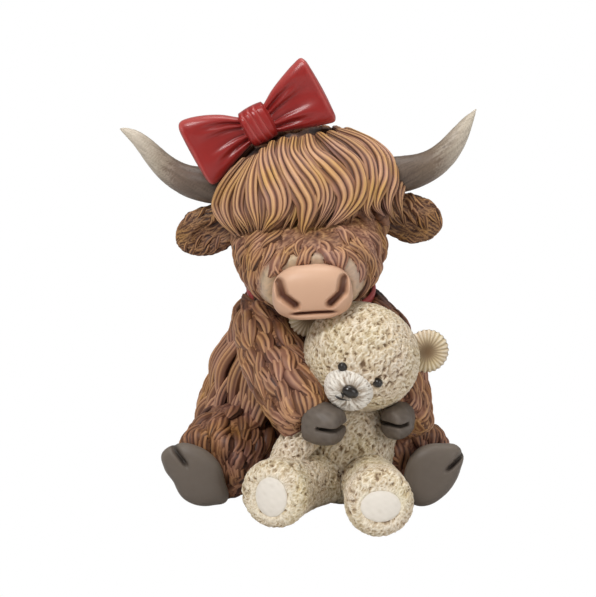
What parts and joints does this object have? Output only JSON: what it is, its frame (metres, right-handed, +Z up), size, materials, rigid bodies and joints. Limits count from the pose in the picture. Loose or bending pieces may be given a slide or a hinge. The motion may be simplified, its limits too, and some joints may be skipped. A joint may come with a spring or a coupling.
{
  "type": "cow figurine",
  "caption": "Painted resin figurine of a long-haired horned cow with a red bow, sitting upright and hugging a small curly cream bear.",
  "frame": {"origin": "middle of the torso's flat underside, on the surface the figurine rests on", "axes": "+Z up, -Y to the front (the side the cow faces), +X to the right as seen from the front"},
  "size_m": [0.1158, 0.1059, 0.1375],
  "materials": {
    "long_hair": "matt, dry-brushed",
    "body_fur": "matt, dry-brushed",
    "bare_muzzle": "satin",
    "horn": "satin",
    "hoof": "satin",
    "bow_red": "gloss",
    "collar_red": "satin",
    "bear_fur": "matt, washed",
    "bear_cream": "matt",
    "bear_dark": "gloss"
  },
  "bodies": {
    "root": {"torso": "body_fur", "head": "body_fur", "forelock": "long_hair", "muzzle": "bare_muzzle", "horn_left": "horn", "horn_right": "horn", "ear_left": "long_hair", "ear_right": "long_hair", "bow_knot": "bow_red", "bow_loop_left": "bow_red", "bow_loop_right": "bow_red", "collar": "collar_red", "arm_left": "body_fur", "arm_right": "body_fur", "fore_hoof_left": "hoof", "fore_hoof_right": "hoof", "leg_left": "body_fur", "leg_right": "body_fur", "hind_hoof_left": "hoof", "hind_hoof_right": "hoof", "tail": "long_hair", "bear_body": "bear_fur", "bear_head": "bear_fur", "bear_snout": "bear_cream", "bear_nose": "bear_dark", "bear_eye_left": "bear_dark", "bear_eye_right": "bear_dark", "bear_ear_left": "bear_fur", "bear_ear_right": "bear_fur", "bear_arm_left": "bear_fur", "bear_leg_left": "bear_fur", "bear_leg_right": "bear_fur", "bear_foot_pad_left": "bear_cream", "bear_foot_pad_right": "bear_cream"}
  },
  "joints": []
}
